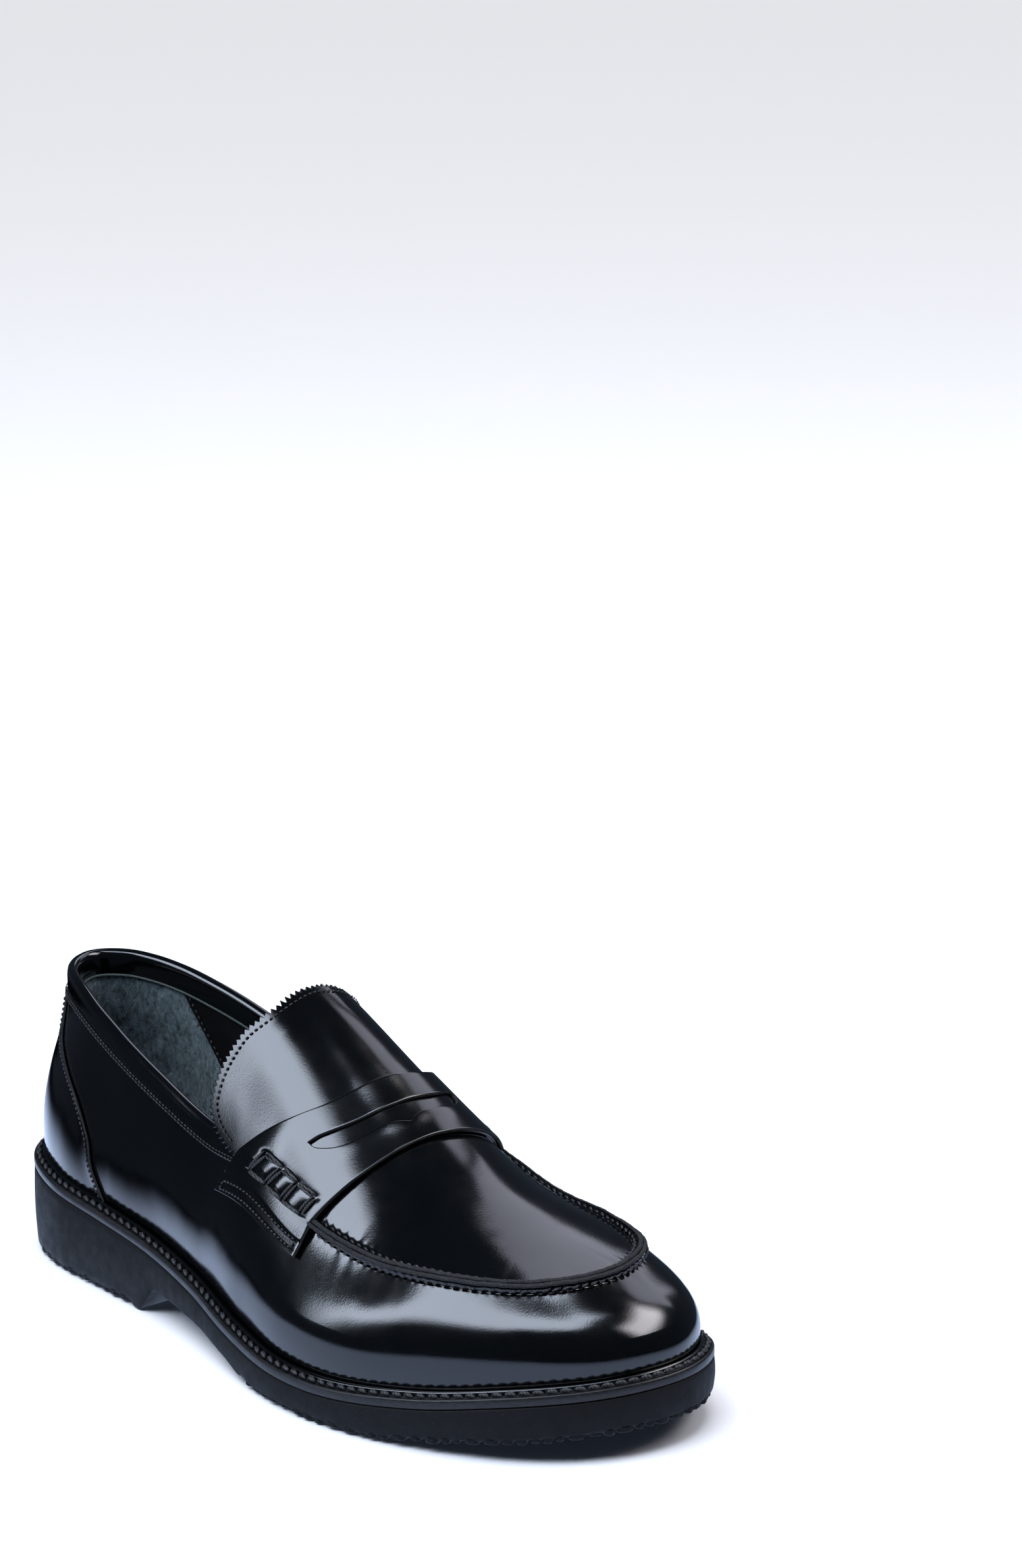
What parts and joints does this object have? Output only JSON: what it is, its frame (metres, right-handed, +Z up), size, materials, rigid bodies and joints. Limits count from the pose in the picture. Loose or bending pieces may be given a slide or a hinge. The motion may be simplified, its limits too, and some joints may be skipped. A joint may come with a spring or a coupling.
{
  "type": "penny loafer",
  "caption": "Black polished slip-on loafer, right shoe, with a stitched moc-toe apron, slotted saddle strap, pinked tongue and a chunky welted sole.",
  "frame": {"origin": "centre of the sole outline on the ground, under the shoe", "axes": "+X points to the toe, +Y to the wearer's left (the inner side of this right shoe), +Z up"},
  "size_m": [0.2966, 0.113, 0.1146],
  "materials": {
    "upper_leather": "brushed, polished to a high gloss",
    "lining_leather": "smooth, satin",
    "suede": "napped suede, matt",
    "raw_edge": "cut edge, inked, matt",
    "sole_eva": "moulded foam, matt with fine specks",
    "welt_leather": "inked edge, satin",
    "thread_dark": "waxed thread",
    "thread_white": "plain thread",
    "cork": "pressed cork",
    "board": "fibreboard",
    "steel": "zinc plated",
    "foam": "latex foam",
    "canvas": "cotton twill, glued"
  },
  "bodies": {
    "shoe": {"outsole": "sole_eva", "welt": "welt_leather", "welt_bead": "upper_leather", "welt_stitching": "thread_dark", "cork_filler": "cork", "shank": "steel", "insole_board": "board", "heel_pad": "foam", "sock_liner": "lining_leather", "sock_stitching": "thread_white", "vamp": "upper_leather", "apron": "upper_leather", "seam_stitching_outer": "thread_dark", "seam_stitching_inner": "thread_dark", "toe_puff": "canvas", "heel_counter": "board", "quarter_backing_lateral": "canvas", "quarter_backing_medial": "canvas", "vamp_lining": "lining_leather", "apron_lining": "lining_leather", "quarter_lining_lateral": "lining_leather", "quarter_lining_medial": "lining_leather", "heel_grip": "suede", "collar_band": "upper_leather", "topline_binding": "upper_leather", "collar_stitching": "thread_dark", "heel_foxing_lateral": "upper_leather", "heel_foxing_medial": "upper_leather", "foxing_stitching": "thread_dark", "back_tab": "raw_edge", "strap_lining": "lining_leather", "saddle_strap": "upper_leather", "strap_ladder_lateral": "thread_dark", "strap_ladder_medial": "thread_dark", "strap_hem_stitching": "thread_dark"},
    "tongue_flap": {"tongue": "upper_leather", "tongue_lining": "lining_leather", "tongue_stitching": "thread_dark"}
  },
  "joints": [
    {"name": "tongue_lift", "type": "hinge", "parent": "shoe", "child": "tongue_flap", "pos_m": [0.0172, 0.0019, 0.0885], "axis": [0, 1, 0], "range_deg": [0, 25], "stiffness_Nm_per_rad": 0.08}
  ]
}
